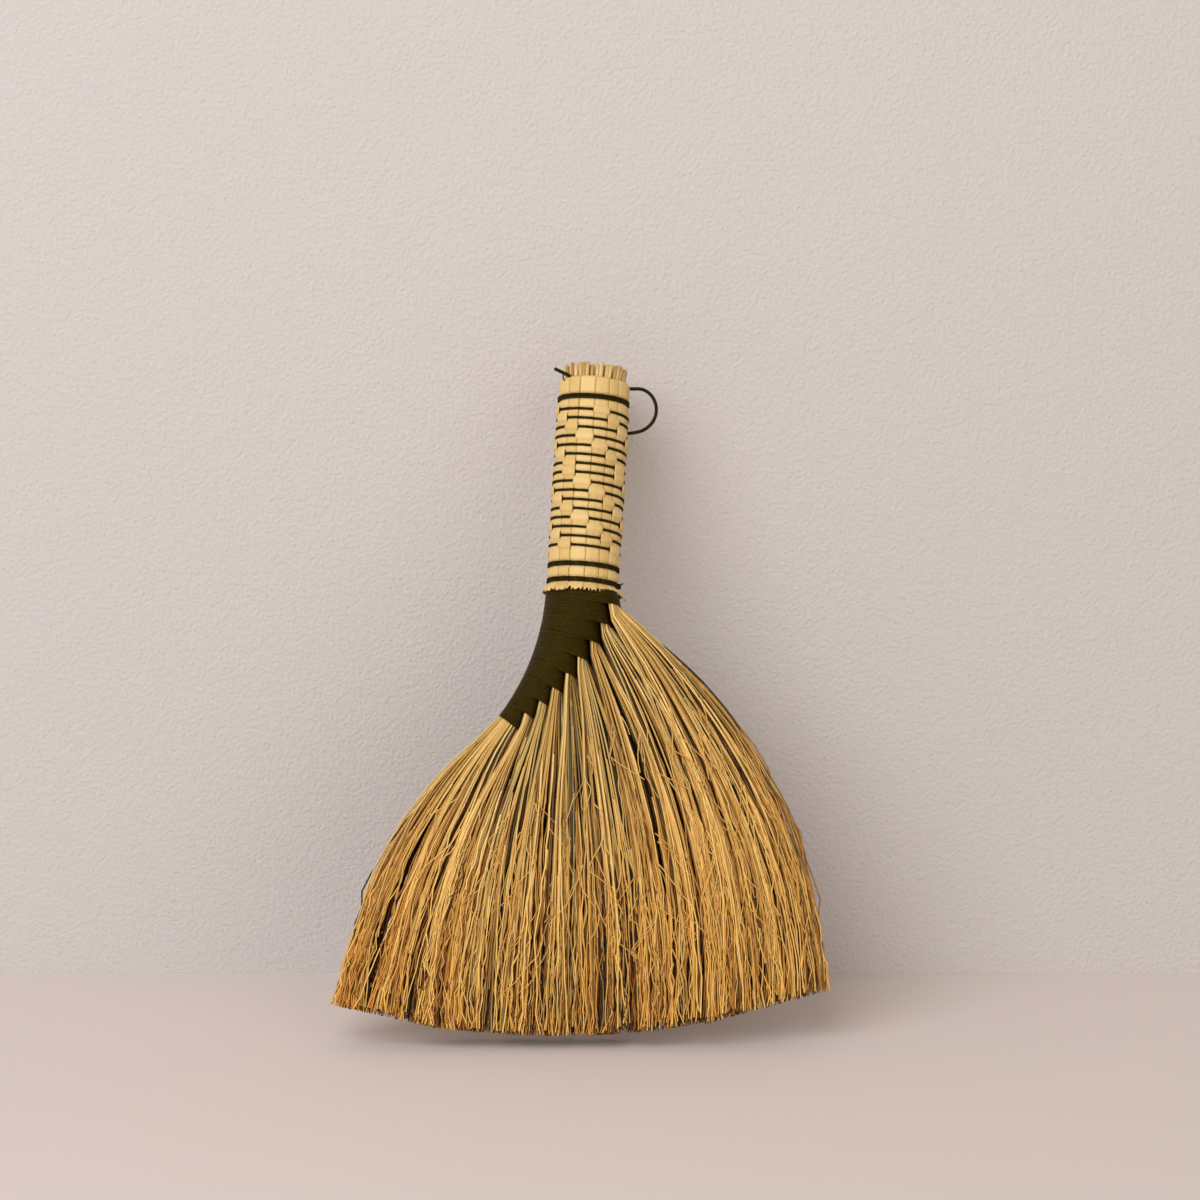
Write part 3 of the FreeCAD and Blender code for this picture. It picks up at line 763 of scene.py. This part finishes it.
# Strands: counts are for an inner bundle and for one at the fan's edge.
STEM_COUNTS = (92, 160)
FINE_COUNTS = (350, 820)
WHISKER_COUNTS = {1: 70, 2: 24, 3: 24}
FEW_WHISKERS = 12
GREEN_HURLS = (4, 5, 6, 7)
GREEN_SHARES = (0.1, 0.3)
FIBRE_POINTS = 16
STEPS = np.linspace(0, 1, FIBRE_POINTS)
STEM_STEPS = np.concatenate([(0.0, 0.0, 0.035), np.linspace(0.09, 1, FIBRE_POINTS - 3)])
FAN_LENGTH = 170.0
SLOW_TURNS = (0.6, 2.6)
QUICK_TURNS = (3.0, 6.5)

# Painted shade on strands deep inside the fan: how much darker they are, from which depth, and how
# far in from an open edge strands stay light.
SHADE = 0.82
SHADE_START = 0.65
SHADE_REACH = 0.32
SHADE_EDGE = 0.3

LOCK_WIDTH = 5.0
LOCK_PULL = 0.08
PULL_BY = 0.8
LOCK_ROUND = 0.12
ROUND_BY = 0.3
LOCK_SWAY = 0.55
LOOSE_SWAY = 1.2
BORDER_SWAY = 0.4
DEPTH_SWAY = 0.8
LOCK_TINT = 0.06
LOCK_END = 0.004


def wave(count, size, turns=SLOW_TURNS):
    """Smooth wander of strands, growing along them."""
    turn = rng.uniform(*turns, (count, 1))
    phase = rng.uniform(0, 2 * math.pi, (count, 1))
    return (np.sin(2 * math.pi * turn * STEPS + phase) - np.sin(phase)) * STEPS ** 0.7 * size


def kinks(count, size):
    """Small sharp bends of dry fibres."""
    return rng.normal(0, 1, (count, FIBRE_POINTS)) * np.clip(STEPS * 1.6, 0, 1) * size


def wander(count, slow, quick, sharp):
    """Slow and quick waves with kinks, as of a dry fibre."""
    return wave(count, slow) + wave(count, quick, QUICK_TURNS) + kinks(count, sharp)


def painted_depth_shade(bundle, s, v):
    """Painted shade: strands deep inside the fan, away from its faces and open edges, are coloured
    darker.
    """
    out = np.abs(v)
    if bundle.open_side:
        out = np.maximum(out, 1 - bundle.edge(s) / SHADE_EDGE)
    return -SHADE * (1 - smoothstep((out - SHADE_START) / SHADE_REACH))


class Locks:
    """Strands of a bundle that cling together, with grooves between one lock and the next."""

    def __init__(self, bundle):
        self.count = round(bundle.width / LOCK_WIDTH)
        loose = bundle.open_side or bundle.level == HURLS - 1
        self.sway = rng.normal(0, LOOSE_SWAY if loose else LOCK_SWAY, (self.count, 4))
        self.sway[[0, -1]] *= BORDER_SWAY
        self.tint = rng.normal(0, LOCK_TINT, self.count)
        self.end = rng.normal(0, LOCK_END, self.count)

    def number(self, s):
        return np.clip((s * self.count).astype(int), 0, self.count - 1)

    def gather(self, s, v, t):
        """Draw strands in to the middle of their lock, and round the lock's face."""
        lock = self.number(s)
        away = (s * self.count - lock - 0.5)[:, None] * 2
        close = LOCK_PULL * smoothstep(t / PULL_BY)
        drawn = (lock[:, None] + 0.5 + away / 2 * (1 - close)) / self.count
        return drawn, v[:, None] * (1 - LOCK_ROUND * away ** 2 * smoothstep(t / ROUND_BY))

    def drift(self, s, t):
        """Sway that the strands of a lock share."""
        a, b, c, d = (self.sway[self.number(s), n][:, None] for n in range(4))
        once, twice = np.sin(math.pi * t) * t, np.sin(2 * math.pi * t) * t
        return np.stack([a * once + b * twice, DEPTH_SWAY * (c * once + d * twice), 0 * t], -1)


EDGE_CROWDING = 1.3
EDGE_FILL = 0.16
INSIDE_SHARE = 0.25
INSIDE_DEPTH = 0.6
STEM_TINT = (0.7, 0.16)
STEM_REACH = (0.9, 0.1)
STEM_STRAY = 0.03
STEM_WAVES = (0.35, 0.3)
STEM_RADII = (0.32, 0.62)
STEM_TAPER = 0.6
STEM_TUCK = 0.45
TUCK_DEPTH = 0.85
TUCK_LEAST = 2.2 * WRAP_WALL


def stems(bundle, locks, count, green):
    """Thick stalks that run from inside the wrap and thin out towards the tips."""
    s = (rng.permutation(count) + rng.uniform(0.1, 0.9, count)) / count
    v = np.where(rng.random(count) < INSIDE_SHARE,
                 rng.uniform(-INSIDE_DEPTH, INSIDE_DEPTH, count),
                 rng.choice((-1, 1), count) * rng.uniform(0.3, 1.0, count) ** 0.45)
    if bundle.open_side:
        s = s ** EDGE_CROWDING if bundle.open_side > 0 else 1 - (1 - s) ** EDGE_CROWDING
        v = np.where(bundle.edge(s) < EDGE_FILL, rng.uniform(-1, 1, count), v)
    tint = rng.normal(*STEM_TINT, count) + locks.tint[locks.number(s)]
    greenness = (rng.random(count) < green) * rng.uniform(0.4, 1.0, count)
    reach = np.clip(rng.normal(*STEM_REACH, count), 0.5, 1.0)
    t = reach[:, None] * STEM_STEPS
    at_s, at_v = locks.gather(s, v, t)
    at_s = bundle.spread(at_s + rng.normal(0, STEM_STRAY, (count, 1)) * t ** 1.5, t)
    path = bundle.point(at_s, at_v, t) + locks.drift(s, t)
    across = bundle.outer + (bundle.inner - bundle.outer) * s - WRAP_WALL - STEP_SLANT * STEM_TUCK
    path[:, 0] = neck_point(bundle.level - STEM_TUCK, np.maximum(across, TUCK_LEAST),
                            path[:, 1, 1] * TUCK_DEPTH)
    for n, size in enumerate(STEM_WAVES):
        path[..., n] += wave(count, size)
    radii = rng.uniform(*STEM_RADII, (count, 1)) * (1.0 - STEM_TAPER * t)
    return path, radii, s, v, tint, greenness


FINE_START = 0.1
FINE_SPAN = 0.52
FINE_END = 0.99
END_UNEVEN = 0.008
SHORT_SHARE = 0.2
SHORT_LEAST = 0.25
SHORT_ENDS = (0.9, 0.97)
STRAY_SHARE = 0.35
STRAY_REACH = (2.0, 6.0)
FINE_ASIDE = 0.22
FINE_DEEP = 0.12
FINE_OUT = 1.04
FINE_WAVES = ((1.0, 1.0, 0.7), (0.8, 0.7, 0.5))
LOOSE_EDGE = 0.12
LOOSE_START = 0.3
LOOSE_SHARE = 0.6
LOOSE_BOW = (1.0, 7.0)
FINE_RADII = (0.26, 0.48)
FINE_TAPER = 0.3
FINE_TONE = 0.43
FINE_GREEN = 0.6


def fine_fibres(bundle, locks, count, s, v, tint, greenness):
    """Branches that leave the stalks on the way down and fill the fan."""
    parent = rng.integers(0, len(s), count)
    s, v = s[parent], v[parent]
    start = FINE_START + FINE_SPAN * rng.beta(1.8, 1.4, count)
    end = FINE_END + locks.end[locks.number(s)] + rng.normal(0, END_UNEVEN, count)
    short = rng.random(count) < SHORT_SHARE
    least = np.minimum(start + SHORT_LEAST, SHORT_ENDS[0])
    end = np.where(short, rng.uniform(least, SHORT_ENDS[1]), np.minimum(end, 1.0))
    t = start[:, None] + (end - start)[:, None] * STEPS
    share = STEPS ** 1.2
    stray = np.where(rng.random(count) < STRAY_SHARE, rng.uniform(*STRAY_REACH, count), 1.0)
    at_s, at_v = locks.gather(s, v, t)
    aside = rng.normal(0, FINE_ASIDE, count) * stray / locks.count
    at_s = bundle.spread(at_s + aside[:, None] * share, t)
    at_v = at_v + rng.normal(0, FINE_DEEP, count)[:, None] * share
    path = bundle.point(at_s, np.clip(at_v, -FINE_OUT, FINE_OUT), t) + locks.drift(s, t)
    size = rng.uniform(0.25, 1.0, (count, 1)) ** 1.3
    for n, (slow, quick, sharp) in enumerate(FINE_WAVES):
        path[..., n] += wander(count, slow * size, quick * size, sharp * size)
    loose = (bundle.edge(s) < LOOSE_EDGE) & (start < LOOSE_START)
    loose &= rng.random(count) < LOOSE_SHARE
    bow = bundle.open_side * loose * rng.uniform(*LOOSE_BOW, count)
    path[..., 0] += bow[:, None] * np.sin(math.pi * STEPS ** 0.8)
    radii = rng.uniform(*FINE_RADII, (count, 1)) * (1.0 - FINE_TAPER * STEPS)
    # The tone includes painted shade for strands that lie deep inside the fan.
    tone = FINE_TONE + 0.5 * tint[parent] + rng.normal(0, 0.25, count) + painted_depth_shade(bundle, s, v)
    return path, radii, t, tone, greenness[parent] * FINE_GREEN


FACE_SHARES = (0.4, 0.6)
WHISKER_STARTS = (0.2, 0.75)
WHISKER_REACH = (0.05, 0.2)
WHISKER_CURL = (0.04, 0.24)
WHISKER_SLOPE = 0.3
STEEPEST = 0.7
WHISKER_LIFT = (0.0, 0.1)
WHISKER_RADII = (0.2, 0.32)
WHISKER_TAPER = np.linspace(1, 0.7, FIBRE_POINTS)
WHISKER_TINTS = (0.6, 0.9)


def whiskers(bundle, count):
    """Crooked side shoots that wander across the faces of the fan."""
    column = (count, 1)
    face = rng.choice((-1.0, 1.0), column, p=FACE_SHARES)
    reach = rng.uniform(*WHISKER_REACH, column)
    t = rng.uniform(*WHISKER_STARTS, column) + reach * STEPS
    curl = rng.normal(0, 1, (count, FIBRE_POINTS)) * rng.uniform(*WHISKER_CURL, column)
    slope = rng.normal(0, WHISKER_SLOPE, column) + curl.cumsum(1)
    slope = np.clip(slope, -STEEPEST, STEEPEST)
    aside = (slope * reach).cumsum(1) * FAN_LENGTH / FIBRE_POINTS
    s = bundle.spread(rng.uniform(0.1, 0.9, column) + aside / bundle.width, t)
    path = bundle.point(s, face * (1 + STEPS * rng.uniform(*WHISKER_LIFT, column)), t)
    radii = rng.uniform(*WHISKER_RADII, column) * WHISKER_TAPER
    return path, radii, t


def strand_colours(tint, along, green):
    """Tint and greenness of each strand, with the place along it."""
    return np.stack(np.broadcast_arrays(tint[:, None], along, green[:, None]), -1)


def make_hurls(finish):
    for level in range(1, HURLS + 1):
        bundle = Bundle(level)
        locks = Locks(bundle)
        outer = level in OPEN_SIDES
        thick, thick_radii, s, v, tint, green = stems(bundle, locks, STEM_COUNTS[outer],
                                                      GREEN_SHARES[level in GREEN_HURLS])
        fine, fine_radii, t, tone, fine_green = fine_fibres(bundle, locks, FINE_COUNTS[outer],
                                                            s, v, tint, green)
        shoots = WHISKER_COUNTS.get(level, FEW_WHISKERS)
        curl, curl_radii, curl_t = whiskers(bundle, shoots)
        # The stems' tint gets painted shade where they lie deep inside the fan.
        strand = np.concatenate([
            strand_colours(tint + painted_depth_shade(bundle, s, v), STEM_STEPS * 0.6, green),
            strand_colours(tone, t, fine_green),
            strand_colours(rng.uniform(*WHISKER_TINTS, shoots), curl_t, np.zeros(shoots))])
        name = f"hurl_{level:02d}"
        radii = np.concatenate([thick_radii, fine_radii, curl_radii])
        mesh = fibre_mesh(name, np.concatenate([thick, fine, curl]), radii, np.clip(strand, 0, 1))
        piece(name + "_fibres", mesh, finish, [name])


# Hanging loop and cord tail
LOOP_DIAMETER = 1.6
LOOP_TOP = (7.1, 0.0, 291.3)
LOOP_ROUTE = [(0, 0), (3.5, 0.5), (7.4, -1.0), (10.3, -4.3), (11.6, -8.8),
              (10.8, -13.5), (8.1, -17.3), (4.1, -19.7), (0, -20.4)]
SEAT_ANGLE = 90
SEAT_RADIUS = 14.8
SEAT_LAP = 0.3
CORD_POINTS = 5

# The tail's angle, distance from the handle's middle and height, and a loose ply that hangs off it
TAIL_Z = RIM_Z + 0.85
TAIL_ROUTE = [(-49, 14.2, TAIL_Z - 1.2), (-52, 15.2, TAIL_Z + 0.1), (-57, 16.5, TAIL_Z + 0.9),
              (-62, 18.1, TAIL_Z + 1.9), (-67, 19.8, TAIL_Z + 3.0)]
TAIL_RADII = np.array([0.9, 0.9, 0.86, 0.82, 0.8])
PLY_FROM = 2
PLY_ROUTE = np.array([(0.0, 0.0, 0.0), (-0.35, 0.1, -0.6), (-0.5, 0.1, -1.6), (-0.2, 0.0, -2.6),
                      (0.3, -0.1, -3.4)])
PLY_RADII = np.linspace(0.36, 0.28, CORD_POINTS)


def cord_curve(name, points, radius):
    """Smooth round cord through a cage of points, in millimetres."""
    curve = bpy.data.curves.new(name, "CURVE")
    curve.dimensions = "3D"
    curve.bevel_depth = radius * MM
    curve.bevel_resolution = 3
    curve.use_fill_caps = True
    curve.resolution_u = 10
    spline = curve.splines.new("NURBS")
    spline.points.add(len(points) - 1)
    for spot, point in zip(spline.points, points):
        spot.co = (*(Vector(point) * MM), 1.0)
    spline.order_u = 3
    spline.use_endpoint_u = True
    return curve


def make_cords(finish):
    x, y, z = LOOP_TOP
    route = [(x + a, y, z + b) for a, b in LOOP_ROUTE]
    curve = cord_curve("hanging_loop", route, LOOP_DIAMETER / 2)
    loop = piece("hanging_loop_cord", curve, finish, ["hanging_loop"], "loop")
    tail = np.array([round_handle(*spot) for spot in TAIL_ROUTE])
    seats = [np.linspace(round_handle(SEAT_ANGLE, SEAT_RADIUS, end), (x + SEAT_LAP, y, end),
                         CORD_POINTS) for end in (route[0][2], route[-1][2])]
    radii = [TAIL_RADII, PLY_RADII, *[np.full(CORD_POINTS, LOOP_DIAMETER / 2)] * 2]
    mesh = fibre_mesh("cord_tail", [tail, tail[PLY_FROM] + PLY_ROUTE, *seats], radii, None, 2)
    piece("cord_tail_frayed", mesh, finish, ["cord_tail"])


# Stage: pale floor and wall, soft light and the camera. Lengths are in metres.
WALL_AWAY = 0.108
BOARD_HALF = 2.5
STANDS_ON = (-0.05, 0.0)
CAMERA_SPOT = Vector((-0.0018, -1.475, -0.0128))
LENS = 100.0
SENSOR = 36.0
LIT_POINT = Vector((0, 0, 0.15))
# Name, way to the right, back and up from the lit point, size, watts and colour
LIGHTS = (("key", (-0.9, -1.6, 1.35), 2.0, 41.0, (1.0, 0.985, 0.98)),
          ("fill", (1.2, -1.6, 0.6), 1.6, 7.5, (1.0, 0.92, 0.81)),
          ("back_fill", (0.4, 1.7, -0.5), 1.6, 28.0, (1.0, 0.98, 0.96)))
ROOM_COLOUR = srgb(226, 213, 197)
ROOM_STRENGTH = 0.41


def pale_finish(name, colour, grain, depth):
    """Painted board with a fine grain, seen from its front only."""
    f = Finish(name)
    tooth = f.noise(grain, 4)
    darker = tuple(c * 0.97 for c in colour[:3]) + (1.0,)
    f.surface(Base_Color=f.mix(f.noise(6.0, 2), darker, colour),
              Roughness=0.9, Normal=f.bump(tooth, depth))
    clear = f.add("ShaderNodeBsdfTransparent")
    behind = f.add("ShaderNodeNewGeometry", out="Backfacing")
    front = Value(f, f.shader.outputs[0])
    shown = f.add("ShaderNodeMixShader", None, {0: behind, 1: front, 2: clear})
    f.put(f.output.inputs["Surface"], shown)
    return f.material


def board(name, finish, centre, across, along):
    bm = bmesh.new()
    bmesh.ops.create_grid(bm, x_segments=1, y_segments=1, size=BOARD_HALF)
    turn = Matrix((across, along, across.cross(along))).transposed().to_4x4()
    bmesh.ops.transform(bm, verts=bm.verts, matrix=Matrix.Translation(centre) @ turn)
    mesh = finished_mesh(name, bm)
    mesh.materials.append(finish)
    obj = bpy.data.objects.new(name, mesh)
    bpy.context.scene.collection.objects.link(obj)


def soft_light(name, way, size, energy, colour):
    lamp = bpy.data.lights.new(name, "AREA")
    lamp.size = size
    lamp.energy = energy
    lamp.color = colour
    away = right * way[0] + room_back * way[1] + room_up * way[2]
    obj = bpy.data.objects.new(name, lamp)
    obj.location = LIT_POINT + away
    obj.rotation_mode = "QUATERNION"
    obj.rotation_quaternion = (-away).to_track_quat("-Z", "Y")
    bpy.context.scene.collection.objects.link(obj)


def make_stage():
    """Floor and wall, set so that the lowest tips of the fan stand on the floor."""
    half = TIP_DEPTH / 2 * MM
    corners = [Vector((x, y, 0.0)) for x in STANDS_ON for y in (-half, half)]
    foot = min(corners, key=lambda p: p.dot(room_up))
    floor_finish = pale_finish("floor_board", srgb(221, 211, 208), 60.0, 0.1)
    wall_finish = pale_finish("wall_board", srgb(211, 206, 206), 560.0, 0.8)
    edge = foot + room_back * WALL_AWAY
    board("floor", floor_finish, edge - room_back * BOARD_HALF, right, room_back)
    board("wall", wall_finish, edge + room_up * BOARD_HALF, right, room_up)
    for light in LIGHTS:
        soft_light(*light)
    world = bpy.data.worlds.new("studio")
    world.use_nodes = True
    ground = world.node_tree.nodes["Background"]
    ground.inputs["Color"].default_value = ROOM_COLOUR
    ground.inputs["Strength"].default_value = ROOM_STRENGTH
    bpy.context.scene.world = world


def make_camera():
    lens = bpy.data.cameras.new("camera")
    lens.lens = LENS
    lens.sensor_width = SENSOR
    lens.sensor_fit = "HORIZONTAL"
    camera = bpy.data.objects.new("camera", lens)
    turn = Matrix((right, camera_up, -look)).transposed().to_4x4()
    camera.matrix_world = Matrix.Translation(CAMERA_SPOT) @ turn
    bpy.context.scene.collection.objects.link(camera)
    bpy.context.scene.camera = camera


make_camera()
waxed = thread_finish("waxed_thread", srgb(26, 21, 6), srgb(58, 49, 18), rough=0.55, gloss=0.12)
cord = thread_finish("loop_cord", srgb(24, 19, 7), srgb(54, 45, 20), rough=0.5, gloss=0.12)
wound = thread_finish("neck_thread", srgb(20, 14, 0), srgb(66, 52, 6), rough=0.5, gloss=0.32)
make_cords(cord)
make_strips(split_stalk_finish())
make_core(stalk_core_finish())
make_threads(waxed)
make_knot(waxed)
make_neck(wound)
make_hurls(broomcorn_finish())
make_stage()

bpy.context.scene.view_settings.view_transform = "Standard"
